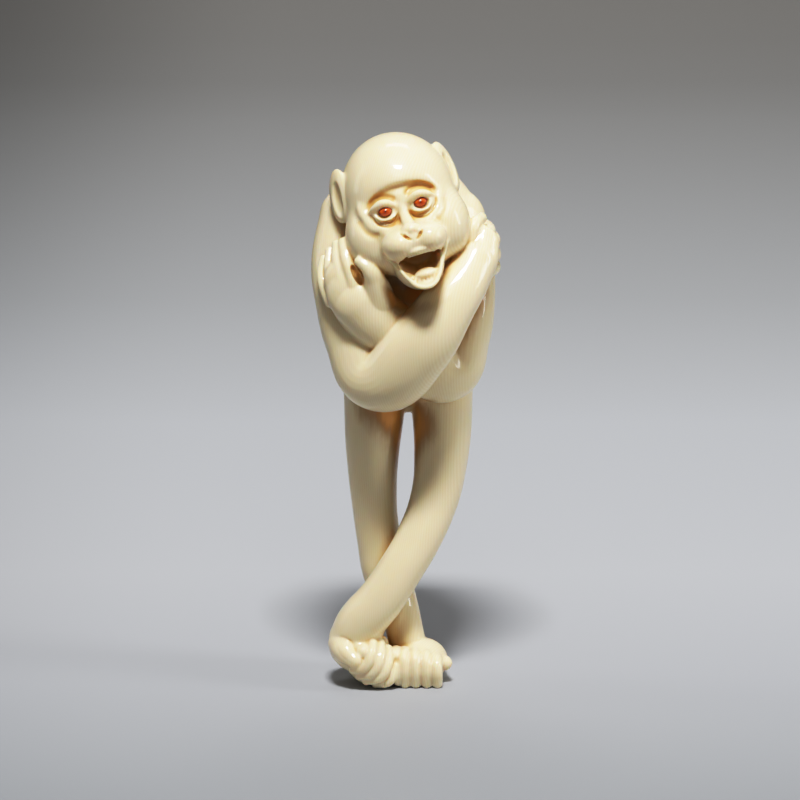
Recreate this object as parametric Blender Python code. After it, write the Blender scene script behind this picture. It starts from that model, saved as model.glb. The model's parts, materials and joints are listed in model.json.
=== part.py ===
"""An ivory netsuke: a shivering monkey on crossed legs, its arms folded and its mouth open.

The monkey faces -Y and stands on its curled feet at Z = 0. Sizes are in millimetres and are
turned into metres as each lump is made. The figure is built up as a carver would model it in
clay: rounded masses and tapering limbs are fused into one skin, softened where flesh is soft,
and then the mouth, the eyes, the ears and the nostrils are cut in. The eyes are inlaid.
"""

import math

import bpy
from mathutils import Euler, Matrix, Vector

MM = 0.001
SIDES = (-1, 1)

# The head: the height of the eyes above the ground, and how the head is tipped back, leaned
# towards the monkey's right shoulder and turned.
EYE_LEVEL = 66.5
HEAD_TIP = -14.0
HEAD_LEAN = -15.5
HEAD_TURN = 2.0
HEAD_SIZE = 0.95

# Limbs and trunk as rounded tubes through points of (x, y, z, radius).
SPINE = (
    (0.0, 5.2, 41.5, 5.9),
    (-0.2, 4.9, 46.5, 7.0),
    (-0.4, 4.4, 53.0, 7.9),
    (-0.5, 4.6, 59.5, 7.8),
    (-0.6, 5.0, 63.2, 6.4),
)
SPINE_WIDTH = 1.16
FRONT_LEG = (
    (4.2, 3.6, 42.4, 4.3),
    (4.6, 2.9, 38.0, 4.15),
    (4.5, 1.5, 30.0, 3.6),
    (3.6, 0.5, 24.8, 3.25),
    (1.4, -1.0, 19.6, 3.05),
    (-0.9, -2.0, 15.8, 3.0),
    (-3.6, -2.4, 11.7, 3.1),
    (-6.3, -2.0, 8.3, 3.2),
    (-7.4, -1.4, 6.0, 3.1),
)
REAR_LEG = (
    (-4.2, 3.6, 42.4, 4.3),
    (-4.3, 2.9, 38.0, 4.15),
    (-4.6, 2.8, 31.1, 3.6),
    (-4.45, 3.0, 24.6, 3.1),
    (-3.8, 3.2, 18.5, 2.95),
    (-3.1, 3.1, 14.4, 3.0),
    (-2.0, 2.8, 11.4, 2.95),
    (-1.0, 2.2, 8.6, 2.7),
    (-0.1, 1.5, 5.3, 2.5),
)
RIGHT_UPPER_ARM = (
    (-7.0, 3.0, 62.6, 4.6),
    (-7.7, 1.0, 57.0, 4.95),
    (-7.3, -1.0, 52.5, 4.8),
    (-6.1, -3.2, 47.6, 4.7),
    (-3.8, -5.4, 43.1, 4.55),
)
RIGHT_FOREARM = (
    (1.4, -8.2, 47.8, 4.5),
    (5.0, -8.0, 52.9, 3.75),
    (7.6, -6.2, 56.4, 3.15),
    (8.8, -4.8, 58.4, 2.9),
)
LEFT_UPPER_ARM = (
    (5.9, 4.4, 62.0, 4.5),
    (6.9, 3.2, 56.7, 4.55),
    (7.1, 1.4, 51.6, 4.5),
    (6.5, 0.0, 47.3, 4.45),
    (4.9, -1.5, 43.1, 4.35),
)
LEFT_FOREARM = (
    (1.0, -4.0, 47.0, 4.0),
    (-3.8, -6.0, 50.9, 3.9),
    (-6.0, -6.2, 53.4, 3.9),
)
ARM_DEPTH = 0.85

# The inlaid eyes: half sizes across, into the head and upwards, and the room for the glue.
IRIS = (0.93, 0.6, 0.6)
PUPIL = 0.27
EYE_APART = 2.46
GLUE = 0.04

# Colours of the ivory, the eyes' amber and the pupils' dark horn.
IVORY = (0.82, 0.70, 0.47)
AMBER = (0.42, 0.07, 0.015)
DARK_HORN = (0.02, 0.008, 0.005)

# Sizes of the cells that masses are fused in, and the triangles left on the carving.
SOFT_CELL = 0.45
FACE_CELL = 0.2
SKIN_CELL = 0.2
CUT_CELL = 0.1
TRIANGLES = 8150

# Where the carving is finest, as (x, y, z, reach), and how much it's spared in the thinning.
DETAIL = (
    (-0.5, -11.0, 64.0, 7.0),
    (-8.0, -7.0, 57.0, 5.0),
    (-2.0, -4.0, 3.0, 7.0),
    (11.0, 0.0, 60.0, 5.0),
)
LEAST_WEIGHT = 0.1
DETAIL_CARE = 1e-8

# The head's own frame: its origin lies between the eyes, X to the viewer's right, Y back into
# the skull and Z up to the crown.
HEAD = (
    Matrix.Translation((-0.6, -9.3, EYE_LEVEL))
    @ Matrix.Rotation(math.radians(HEAD_TIP), 4, "X")
    @ Matrix.Rotation(math.radians(HEAD_LEAN), 4, "Y")
    @ Matrix.Rotation(math.radians(HEAD_TURN), 4, "Z")
    @ Matrix.Scale(HEAD_SIZE, 4)
)
WORLD = Matrix.Identity(4)
ACROSS = (0, 1, 0)


def clear_scene():
    for old in list(bpy.data.objects):
        bpy.data.objects.remove(old)


def placed(name, mesh):
    """A new object that shows the mesh or the curve."""
    obj = bpy.data.objects.new(name, mesh)
    bpy.context.scene.collection.objects.link(obj)
    return obj


def applied(obj):
    """The object remade from what its modifiers or its curve make of it."""
    bpy.context.view_layer.update()
    graph = bpy.context.evaluated_depsgraph_get()
    mesh = bpy.data.meshes.new_from_object(obj.evaluated_get(graph))
    name = obj.name
    bpy.data.objects.remove(obj)
    return placed(name, mesh)


def joined(name, lumps):
    """Several objects made one, their shells still separate."""
    with bpy.context.temp_override(
        active_object=lumps[0], selected_editable_objects=lumps, selected_objects=lumps
    ):
        bpy.ops.object.join()
    lumps[0].name = name
    return lumps[0]


def fused(name, lumps, cell, softening):
    """Overlapping lumps made one closed skin, with the joins softened."""
    obj = joined(name, lumps)
    skin = obj.modifiers.new("skin", "REMESH")
    skin.mode = "VOXEL"
    skin.voxel_size = cell * MM
    soften = obj.modifiers.new("soften", "SMOOTH")
    soften.factor = 0.5
    soften.iterations = softening
    return applied(obj)


def carved(obj, cutter):
    """The object with the cutter's space taken away."""
    name = obj.name
    cut = obj.modifiers.new("cut", "BOOLEAN")
    cut.operation = "DIFFERENCE"
    cut.solver = "EXACT"
    cut.object = cutter
    left = applied(obj)
    left.name = name
    bpy.data.objects.remove(cutter)
    return left


def thinned(obj, triangles):
    """The object with its skin redrawn in fewer, larger triangles, largest on plain limbs."""
    group = obj.vertex_groups.new(name="plain")
    for vertex in obj.data.vertices:
        near = min((vertex.co / MM - Vector(spot)).length / reach for *spot, reach in DETAIL)
        weight = min(1.0, max(LEAST_WEIGHT, near - 0.6))
        group.add([vertex.index], weight, "REPLACE")
    thin = obj.modifiers.new("thin", "DECIMATE")
    thin.vertex_group = group.name
    thin.vertex_group_factor = DETAIL_CARE
    thin.ratio = triangles / sum(len(face.vertices) - 2 for face in obj.data.polygons)
    return applied(obj)


def ball(centre, radii, turn=(0, 0, 0), frame=WORLD, rounds=4):
    """An ellipsoid, turned by XYZ angles in degrees."""
    bpy.ops.mesh.primitive_ico_sphere_add(subdivisions=rounds, radius=1)
    obj = bpy.context.object
    spin = Euler([math.radians(a) for a in turn]).to_matrix().to_4x4()
    size = Matrix.Diagonal((*radii, 1))
    obj.data.transform(Matrix.Scale(MM, 4) @ frame @ Matrix.Translation(centre) @ spin @ size)
    return obj


def limb(points, flat=1.0, across=ACROSS, frame=WORLD):
    """A tapering rounded tube, pressed flatter (or spread, above 1) along one direction."""
    across = Vector(across).normalized()
    press = Matrix([[(flat - 1) * a * b for b in across] for a in across]) + Matrix.Identity(3)
    spread = press.inverted()
    curve = bpy.data.curves.new("limb", "CURVE")
    curve.dimensions = "3D"
    curve.bevel_depth = 1
    curve.bevel_resolution = 14
    curve.use_fill_caps = True
    spline = curve.splines.new("BEZIER")
    spline.bezier_points.add(len(points) - 1)
    spline.resolution_u = 16
    spline.radius_interpolation = "CARDINAL"
    for knot, (x, y, z, radius) in zip(spline.bezier_points, points):
        knot.co = spread @ Vector((x, y, z))
        knot.radius = radius
        knot.handle_left_type = "AUTO"
        knot.handle_right_type = "AUTO"
    pieces = [applied(placed("limb", curve))]
    for x, y, z, radius in (points[0], points[-1]):
        pieces.append(ball(spread @ Vector((x, y, z)), (radius,) * 3))
        pieces[-1].data.transform(Matrix.Scale(1 / MM, 4))
    obj = joined("limb", pieces)
    obj.data.transform(Matrix.Scale(MM, 4) @ frame @ press.to_4x4())
    return obj


def box(centre, size):
    bpy.ops.mesh.primitive_cube_add(size=1)
    obj = bpy.context.object
    obj.data.transform(Matrix.Scale(MM, 4) @ Matrix.Translation(centre) @ Matrix.Diagonal((*size, 1)))
    return obj


def mirrored(points, side, offset=0.0):
    """Points of the head's frame on one side of the face."""
    return [(offset + side * x, y, z, radius) for x, y, z, radius in points]


def soft_body():
    """Back, shoulders, hips and upper arms as one soft mass."""
    return fused(
        "body",
        [
            limb(SPINE, flat=SPINE_WIDTH, across=(1, 0, 0)),
            limb(RIGHT_UPPER_ARM[:3], flat=ARM_DEPTH),
            limb(LEFT_UPPER_ARM[:3], flat=ARM_DEPTH),
            ball((-3.8, 4.9, 59.6), (6.7, 6.9, 9.9)),
            ball((3.0, 5.1, 59.6), (6.8, 7.0, 9.9)),
            ball((-3.2, 5.9, 43.8), (4.5, 5.4, 7.5)),
            ball((3.2, 5.9, 43.8), (4.5, 5.4, 7.5)),
        ],
        SOFT_CELL,
        60,
    )


def tail():
    return limb([(0, 10.0, 43.6, 1.9), (0.1, 11.2, 42.0, 1.75), (0.2, 11.5, 40.2, 1.45)])


def arms():
    """The forearms cross on the chest, the monkey's right one in front."""
    right = RIGHT_UPPER_ARM + RIGHT_FOREARM
    left = LEFT_UPPER_ARM + LEFT_FOREARM
    return [limb(right, flat=ARM_DEPTH), limb(left, flat=ARM_DEPTH)]


def left_hand():
    """The monkey's left hand lies on its right upper arm, the back of the hand to the front."""
    palm = [(-5.6, -6.6, 52.8, 3.7), (-6.9, -6.4, 54.7, 3.7), (-7.6, -5.9, 56.2, 3.3)]
    fingers = [
        [
            (-6.9, -7.9, 54.6, 0.85),
            (-7.2, -7.8, 57.0, 0.85),
            (-7.9, -6.8, 59.2, 0.8),
            (-8.3, -5.2, 61.0, 0.7),
        ],
        [
            (-8.1, -7.6, 53.8, 0.85),
            (-8.6, -7.2, 56.4, 0.82),
            (-9.1, -6.0, 58.8, 0.75),
            (-9.2, -4.6, 60.6, 0.65),
        ],
        [
            (-9.2, -6.8, 53.3, 0.8),
            (-9.9, -6.1, 55.8, 0.76),
            (-10.2, -5.0, 57.9, 0.7),
            (-10.1, -3.8, 59.6, 0.6),
        ],
        [
            (-10.0, -5.8, 53.2, 0.75),
            (-10.9, -4.8, 55.2, 0.7),
            (-11.2, -3.8, 56.9, 0.62),
            (-10.9, -3.0, 58.4, 0.52),
        ],
    ]
    thumb = [
        (-3.6, -7.2, 53.6, 1.5),
        (-4.1, -8.7, 56.2, 1.1),
        (-5.1, -9.3, 58.1, 0.85),
        (-6.2, -9.0, 59.2, 0.68),
    ]
    return [limb(palm, flat=0.6), limb(thumb), *(limb(finger) for finger in fingers)]


def right_hand():
    """The monkey's right hand grips its left shoulder, the fingers round to the back."""
    palm = [(8.2, -5.2, 57.4, 3.0), (9.0, -4.2, 59.0, 3.0), (9.4, -3.4, 60.4, 2.7)]
    fingers = [
        [(7.9, -4.6, 61.2, 1.0), (8.8, -3.9, 63.2, 0.85), (9.6, -2.0, 63.6, 0.8)],
        [
            (9.2, -3.8, 61.0, 1.0),
            (10.4, -2.4, 61.6, 0.95),
            (10.6, 0.2, 61.9, 0.85),
            (9.8, 2.8, 62.0, 0.75),
        ],
        [
            (9.8, -3.6, 60.0, 1.0),
            (11.0, -2.0, 60.3, 0.95),
            (11.3, 0.6, 60.5, 0.85),
            (10.6, 3.4, 60.6, 0.75),
        ],
        [
            (10.0, -3.6, 58.4, 1.0),
            (11.1, -1.8, 58.3, 0.95),
            (11.5, 0.8, 58.5, 0.85),
            (11.0, 3.6, 58.7, 0.75),
        ],
        [
            (9.8, -3.6, 57.0, 0.95),
            (11.0, -1.8, 56.7, 0.9),
            (11.5, 0.6, 56.7, 0.8),
            (11.2, 3.0, 56.9, 0.7),
        ],
    ]
    lean = (0.35, 1, 0)
    return [limb(palm, flat=0.6, across=lean), *(limb(finger) for finger in fingers)]


def front_foot():
    """The monkey's left foot, curled like a fist, its big toe across the front."""
    toes = [
        [
            (-4.7, -3.6, 6.4, 0.85),
            (-4.8, -5.9, 5.2, 0.85),
            (-5.9, -6.2, 3.5, 0.8),
            (-7.2, -5.2, 2.7, 0.7),
        ],
        [
            (-3.5, -3.4, 5.8, 0.85),
            (-3.5, -5.6, 4.4, 0.85),
            (-4.5, -6.0, 2.6, 0.8),
            (-6.3, -5.0, 1.6, 0.7),
        ],
        [(-2.5, -3.2, 4.9, 0.8), (-2.5, -5.4, 3.4, 0.8), (-3.6, -5.8, 1.7, 0.8), (-5.2, -4.8, 0.8, 0.7)],
        [
            (-1.7, -3.0, 3.7, 0.75),
            (-1.9, -4.8, 2.4, 0.8),
            (-2.5, -5.2, 0.9, 0.75),
            (-4.0, -4.4, 0.5, 0.7),
        ],
    ]
    big_toe = [(-9.1, -2.4, 5.6, 1.5), (-8.4, -4.8, 5.5, 1.25), (-7.0, -6.4, 5.0, 1.0)]
    return [
        ball((-6.3, -2.0, 4.6), (4.3, 3.6, 3.2), turn=(0, 18, 0)),
        ball((-4.9, -1.6, 7.0), (3.4, 3.0, 3.6)),
        ball((-4.4, -1.8, 2.4), (3.2, 4.0, 2.9)),
        ball((-4.6, 1.4, 2.5), (2.9, 2.7, 2.95)),
        limb(big_toe),
        *(limb(toe) for toe in toes),
    ]


def rear_foot():
    """The monkey's right foot, curled too, its big toe at the outer end."""
    lumps = [
        ball((1.8, 0.0, 2.5), (3.7, 4.7, 2.9)),
        ball((0.9, 2.9, 2.5), (2.8, 2.5, 2.85)),
        limb([(4.0, 0.0, 2.6, 1.4), (5.1, -2.0, 2.7, 1.0)]),
    ]
    for x, top in ((-0.4, 4.6), (1.1, 4.6), (2.7, 4.4), (4.1, 3.9)):
        toe = [
            (x, -2.2, top, 0.85),
            (x, -4.0, top - 0.3, 0.85),
            (x + 0.1, -4.9, 2.6, 0.85),
            (x + 0.1, -4.3, 0.65, 0.8),
        ]
        lumps.append(limb(toe))
    return lumps


def skull():
    """The skull, cheeks and muzzle; the eyes lie in a shallow mask-shaped hollow."""
    masses = [
        ball((0.3, 8.3, 2.4), (7.9, 9.2, 8.55), frame=HEAD),
        ball((0.1, 4.4, -5.4), (5.0, 5.4, 4.6), frame=HEAD),
    ]
    for side in SIDES:
        masses.append(ball((0.1 + side * 5.0, 5.6, -3.0), (3.8, 5.2, 5.2), frame=HEAD))
    bpy.ops.mesh.primitive_cylinder_add(vertices=96, radius=1, depth=2)
    mask = bpy.context.object
    lie = Matrix.Rotation(math.radians(90), 4, "X")
    size = Matrix.Diagonal((5.6, 5.5, 3.0, 1))
    mask.data.transform(Matrix.Scale(MM, 4) @ HEAD @ Matrix.Translation((0.15, -1.0, -0.1)) @ size @ lie)
    lumps = [
        carved(fused("skull", masses, SOFT_CELL, 30), mask),
        ball((0, 8.3, 1.4), (7.3, 8.35, 7.5), frame=HEAD, rounds=5),
        ball((0.1, 1.6, -4.7), (4.4, 4.7, 2.9), frame=HEAD),
    ]
    cheekbone = [(5.1, 2.0, 0.8, 0.9), (4.7, 1.3, -1.4, 1.0), (3.4, 0.8, -2.9, 0.9)]
    for side in SIDES:
        lumps.append(ball((side * 3.0, 2.8, -2.3), (3.0, 3.1, 2.2), frame=HEAD))
        lumps.append(ball((0.1 + side * 1.8, -0.3, -4.8), (2.6, 3.2, 2.2), frame=HEAD))
        lumps.append(limb(mirrored(cheekbone, side), frame=HEAD))
    return fused("skull", lumps, FACE_CELL, 14)


def eyes_and_lids():
    upper = [
        (0.8, 0.1, 0.25, 0.2),
        (1.5, -0.4, 0.95, 0.36),
        (2.5, -0.6, 1.2, 0.44),
        (3.5, -0.2, 0.95, 0.4),
        (4.5, 0.8, 0.25, 0.24),
    ]
    lower = [
        (0.8, 0.2, 0.1, 0.14),
        (1.6, -0.3, -0.65, 0.17),
        (2.5, -0.45, -0.95, 0.18),
        (3.4, -0.2, -0.75, 0.17),
        (4.4, 0.7, 0.1, 0.14),
    ]
    lumps = []
    for side in SIDES:
        lumps.append(ball((side * 2.45, 1.2, -0.2), (2.15, 1.75, 1.95), frame=HEAD))
        lumps.append(limb(mirrored(upper, side), frame=HEAD))
        lumps.append(limb(mirrored(lower, side), frame=HEAD))
    return lumps


def eye_openings():
    return [ball((side * 2.6, -1.5, -0.05), (1.85, 2.1, 0.74), frame=HEAD) for side in SIDES]


def eyeballs():
    return [ball((side * 2.5, 1.75, 0.05), (1.8, 1.75, 1.6), frame=HEAD) for side in SIDES]


def nose():
    bridge = [(0, 0.9, 1.5, 0.75), (0, 0.55, 0.2, 0.7), (0, -0.5, -1.6, 0.85), (0, -2.1, -3.1, 1.0)]
    lumps = [
        limb(bridge, frame=HEAD),
        ball((0.05, -2.7, -3.4), (1.35, 0.8, 0.85), frame=HEAD),
        ball((0.05, -3.0, -3.9), (0.5, 0.45, 0.45), frame=HEAD),
    ]
    for side in SIDES:
        lumps.append(ball((0.05 + side * 0.85, -2.75, -3.7), (0.62, 0.7, 0.5), frame=HEAD))
    return lumps


def nostrils():
    slit = [(1.1, -3.4, -3.3, 0.14), (0.8, -3.6, -3.8, 0.24), (0.4, -3.7, -4.2, 0.14)]
    return [limb(mirrored(slit, side, 0.05), frame=HEAD) for side in SIDES]


def lips_and_jaw():
    """The lower jaw hangs open, its lip a U from the muzzle's sides; the upper lip is drawn up."""
    rim = [
        (-3.75, 1.6, -5.0, 0.6),
        (-3.15, -0.2, -7.6, 0.42),
        (-1.95, -2.0, -10.1, 0.42),
        (0.15, -2.9, -11.1, 0.42),
        (2.25, -2.0, -10.1, 0.42),
        (3.45, -0.2, -7.6, 0.42),
        (4.05, 1.6, -5.0, 0.6),
    ]
    upper_lip = [
        (-2.5, -0.6, -7.0, 0.5),
        (-1.2, -2.2, -6.45, 0.5),
        (0.35, -2.75, -6.25, 0.5),
        (1.9, -2.2, -6.45, 0.5),
        (3.2, -0.6, -7.0, 0.5),
    ]
    chin = ball((0.15, 2.2, -7.4), (3.6, 5.0, 3.9), turn=(-12, 0, 0), frame=HEAD)
    return [limb(rim, frame=HEAD), limb(upper_lip, frame=HEAD), chin]


def mouth():
    return [
        ball((0.15, -1.6, -7.95), (3.1, 4.4, 1.5), frame=HEAD),
        ball((0.15, -2.2, -9.2), (2.1, 3.4, 1.45), frame=HEAD),
    ]


def tongue_and_teeth():
    lumps = [ball((0.25, -0.6, -9.4), (1.5, 2.4, 0.7), turn=(8, 0, 0), frame=HEAD)]
    for step in range(-4, 5):
        angle = math.radians(step * 15)
        across, along = math.sin(angle), math.cos(angle)
        lower = (0.15 + 2.1 * across, -0.3 - 2.1 * along, -9.75 - 0.75 * along)
        upper = (0.35 + 2.1 * across, -0.5 - 2.0 * along, -6.65 - 0.35 * across**2)
        for tooth in (lower, upper):
            lumps.append(ball(tooth, (0.28, 0.25, 0.3), frame=HEAD, rounds=3))
    return lumps


def ears():
    """Thin shells that stand off the head, hollow towards the front."""
    lumps = []
    for side in SIDES:
        turn = (0, side * -8, side * -24)
        shell = ball((side * 7.55, 7.6, 4.1), (0.9, 2.7, 3.8), turn=turn, frame=HEAD)
        hollow = ball((side * 8.35, 7.1, 4.0), (0.8, 1.9, 2.9), turn=turn, frame=HEAD)
        lumps.append(carved(shell, hollow))
    return lumps


def iris(side, grow=0.0):
    """One eye's inlay, or the socket for it when it's grown a little."""
    return ball((side * EYE_APART, 0, 0), [r + grow for r in IRIS], frame=HEAD, rounds=3)


def pupil(side, grow=0.0):
    return ball((side * EYE_APART, -0.42, 0), (PUPIL + grow,) * 3, frame=HEAD, rounds=2)


def carving():
    """The whole monkey in one piece, with the sockets for its eyes and a level underside."""
    limbs = [limb(FRONT_LEG), limb(REAR_LEG), *arms(), tail()]
    ends = [*left_hand(), *right_hand(), *front_foot(), *rear_foot()]
    face = [skull(), *ears(), *eyes_and_lids(), *nose(), *lips_and_jaw()]
    body = fused("monkey", [soft_body(), *limbs, *ends, *face], SKIN_CELL, 3)
    hollows = fused("hollows", [*mouth(), *nostrils(), *eye_openings()], CUT_CELL, 1)
    body = carved(body, hollows)
    body = fused("monkey", [body, *tongue_and_teeth(), *eyeballs()], SKIN_CELL, 1)
    body = thinned(body, TRIANGLES)
    body = carved(body, box((0, 0, -5), (60, 60, 10)))
    for side in SIDES:
        body = carved(body, iris(side, GLUE))
    return body


def centred(objects):
    """The objects moved together, so that the origin is under the middle of the figure's box."""
    body = objects[0].data
    for axis in (0, 1):
        reach = [vertex.co[axis] for vertex in body.vertices]
        step = [0.0, 0.0, 0.0]
        step[axis] = -(min(reach) + max(reach)) / 2
        for obj in objects:
            obj.data.transform(Matrix.Translation(step))


def finished(obj, name, colour, roughness):
    obj.name = name
    obj.data.name = name
    obj.data.shade_smooth()
    look = bpy.data.materials.new(name)
    look.use_nodes = True
    shader = look.node_tree.nodes["Principled BSDF"]
    shader.inputs["Base Color"].default_value = (*colour, 1)
    shader.inputs["Roughness"].default_value = roughness
    shader.inputs["Metallic"].default_value = 0
    obj.data.materials.clear()
    obj.data.materials.append(look)
    return obj


def main():
    clear_scene()
    pieces = [finished(carving(), "monkey", IVORY, 0.28)]
    for side, name in zip(SIDES, ("right", "left")):
        ring = carved(iris(side), pupil(side, GLUE))
        pieces.append(finished(ring, name + "_iris", AMBER, 0.12))
        pieces.append(finished(pupil(side), name + "_pupil", DARK_HORN, 0.15))
    centred(pieces)


main()
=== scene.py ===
# %% [markdown]
# This lesson dresses a carved ivory netsuke: a shivering monkey on crossed legs. The packed
# model gives the frame, its size and the place of the inlaid eyes. The carving is modelled
# again here with much finer relief, and every surface gets its finish.

import json
import math

import bpy
import numpy as np
from mathutils import Euler, Matrix, Vector
from mathutils.bvhtree import BVHTree

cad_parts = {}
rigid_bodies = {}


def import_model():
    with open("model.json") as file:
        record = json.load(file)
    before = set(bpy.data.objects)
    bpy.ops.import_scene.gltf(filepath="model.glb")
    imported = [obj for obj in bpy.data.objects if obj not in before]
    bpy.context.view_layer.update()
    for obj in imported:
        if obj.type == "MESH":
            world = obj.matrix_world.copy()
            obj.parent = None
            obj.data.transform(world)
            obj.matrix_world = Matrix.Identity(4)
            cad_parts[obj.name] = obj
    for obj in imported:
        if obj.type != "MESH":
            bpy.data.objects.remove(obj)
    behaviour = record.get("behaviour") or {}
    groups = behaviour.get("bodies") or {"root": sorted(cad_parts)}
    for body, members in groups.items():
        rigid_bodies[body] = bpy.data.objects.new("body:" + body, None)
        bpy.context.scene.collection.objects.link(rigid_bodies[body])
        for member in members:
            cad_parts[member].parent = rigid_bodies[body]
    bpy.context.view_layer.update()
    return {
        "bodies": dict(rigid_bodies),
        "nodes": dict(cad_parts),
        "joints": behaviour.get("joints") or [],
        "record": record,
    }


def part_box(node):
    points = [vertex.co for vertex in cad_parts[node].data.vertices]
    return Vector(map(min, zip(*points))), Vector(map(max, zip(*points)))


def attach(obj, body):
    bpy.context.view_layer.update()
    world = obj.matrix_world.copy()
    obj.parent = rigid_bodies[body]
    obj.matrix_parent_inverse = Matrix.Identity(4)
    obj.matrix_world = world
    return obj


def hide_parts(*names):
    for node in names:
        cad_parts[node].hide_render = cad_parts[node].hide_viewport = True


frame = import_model()

# %% [markdown]
# A carving of this kind has no straight edges to measure from, so its masses are given as
# points in millimetres from the ground under the monkey. The head has a frame of its own,
# between the eyes, because it is tipped back and leans on one shoulder. Everything is placed in
# one measuring frame, whose shift from the imported model is found at an eye.

# %% The measuring frame and the head's frame
MM = 0.001
SIDES = (-1, 1)
EYE_LEVEL = 66.5
HEAD_TIP = -14.0
HEAD_LEAN = -15.5
HEAD_TURN = 2.0
HEAD_SIZE = 0.95
EYE_APART = 2.46
PUPIL_FORWARD = 0.42

WORLD = Matrix.Identity(4)
HEAD = (
    Matrix.Translation((-0.6, -9.3, EYE_LEVEL))
    @ Matrix.Rotation(math.radians(HEAD_TIP), 4, "X")
    @ Matrix.Rotation(math.radians(HEAD_LEAN), 4, "Y")
    @ Matrix.Rotation(math.radians(HEAD_TURN), 4, "Z")
    @ Matrix.Scale(HEAD_SIZE, 4)
)
low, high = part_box("right_pupil")
SHIFT = (low + high) / 2 - MM * (HEAD @ Vector((-EYE_APART, -PUPIL_FORWARD, 0)))
PLACE = Matrix.Translation(SHIFT) @ Matrix.Scale(MM, 4)
print("shift from the measuring frame in mm:", [round(v / MM, 3) for v in SHIFT])

# %% [markdown]
# The figure is built as a modeller builds in wax. Rounded lumps and tapering limbs are laid
# over each other, a voxel remesh fuses them into one closed skin, and a few rounds of
# smoothing soften the joins. A small cell keeps fingers and eyelids crisp, and a large one
# with much smoothing suits flesh. Hollows are cut with one Boolean from a fused cutter.

# %% Helpers for lumps and limbs
def choose(objects):
    """Select these objects alone, with the first one active."""
    bpy.ops.object.select_all(action="DESELECT")
    for obj in objects:
        obj.select_set(True)
    bpy.context.view_layer.objects.active = objects[0]


def ball(centre, radii, turn=(0, 0, 0), frame=WORLD, rounds=5):
    """An ellipsoid, turned by XYZ angles in degrees."""
    bpy.ops.mesh.primitive_ico_sphere_add(subdivisions=rounds, radius=1)
    obj = bpy.context.object
    spin = Euler([math.radians(angle) for angle in turn]).to_matrix().to_4x4()
    size = Matrix.Diagonal((*radii, 1))
    obj.data.transform(PLACE @ frame @ Matrix.Translation(centre) @ spin @ size)
    return obj


ROUNDNESS = 14
KNOT_STEPS = 16


def limb(points, flat=1.0, across=(0, 1, 0), frame=WORLD):
    """A tapering tube through (x, y, z, radius), pressed flatter along one direction."""
    across = Vector(across).normalized()
    press = Matrix([[(flat - 1) * a * b for b in across] for a in across]) + Matrix.Identity(3)
    spread = press.inverted()
    bpy.ops.curve.primitive_bezier_curve_add()
    tube = bpy.context.object
    tube.data.bevel_depth = 1
    tube.data.bevel_resolution = ROUNDNESS
    tube.data.use_fill_caps = True
    spline = tube.data.splines[0]
    spline.bezier_points.add(len(points) - 2)
    spline.resolution_u = KNOT_STEPS
    spline.radius_interpolation = "CARDINAL"
    for knot, (x, y, z, radius) in zip(spline.bezier_points, points):
        knot.co = spread @ Vector((x, y, z))
        knot.radius = radius
        knot.handle_left_type = "AUTO"
        knot.handle_right_type = "AUTO"
    choose([tube])
    bpy.ops.object.convert(target="MESH")
    pieces = [tube]
    for x, y, z, radius in (points[0], points[-1]):
        bpy.ops.mesh.primitive_ico_sphere_add(subdivisions=4, radius=radius)
        pieces.append(bpy.context.object)
        pieces[-1].data.transform(Matrix.Translation(spread @ Vector((x, y, z))))
        pieces[-1].matrix_world = WORLD
    choose(pieces)
    bpy.ops.object.join()
    tube.data.transform(PLACE @ frame @ press.to_4x4())
    tube.matrix_world = WORLD
    return tube


def mirrored(points, side):
    """Points of the head's frame on one side of the face."""
    return [(side * x, *rest) for x, *rest in points]


print("a limb has", KNOT_STEPS, "steps between two points")

# %% Helpers for fusing and carving
def apply_all(obj):
    """Apply the object's modifiers in their order."""
    choose([obj])
    for modifier in list(obj.modifiers):
        bpy.ops.object.modifier_apply(modifier=modifier.name)


def fused(name, lumps, cell, softening):
    """Overlapping lumps made one closed skin, with the joins softened."""
    choose(lumps)
    bpy.ops.object.join()
    obj = lumps[0]
    obj.name = name
    skin = obj.modifiers.new("skin", "REMESH")
    skin.mode = "VOXEL"
    skin.voxel_size = cell * MM
    soften = obj.modifiers.new("soften", "SMOOTH")
    soften.factor = 0.5
    soften.iterations = softening
    apply_all(obj)
    return obj


def carved(obj, cutter):
    """The object with the cutter's space taken away."""
    cut = obj.modifiers.new("cut", "BOOLEAN")
    cut.operation = "DIFFERENCE"
    cut.solver = "EXACT"
    cut.object = cutter
    apply_all(obj)
    bpy.data.objects.remove(cutter)
    return obj


def triangles(obj):
    return sum(len(face.vertices) - 2 for face in obj.data.polygons)


print("helpers ready for fusing and carving")

# %% [markdown]
# The trunk is one soft mass: a hunched spine, two broad shoulders, the hips and the tops of
# the arms. It's fused in large cells and smoothed for long, because the real back is one
# polished curve. The limbs are laid over it as tapering tubes.

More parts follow.
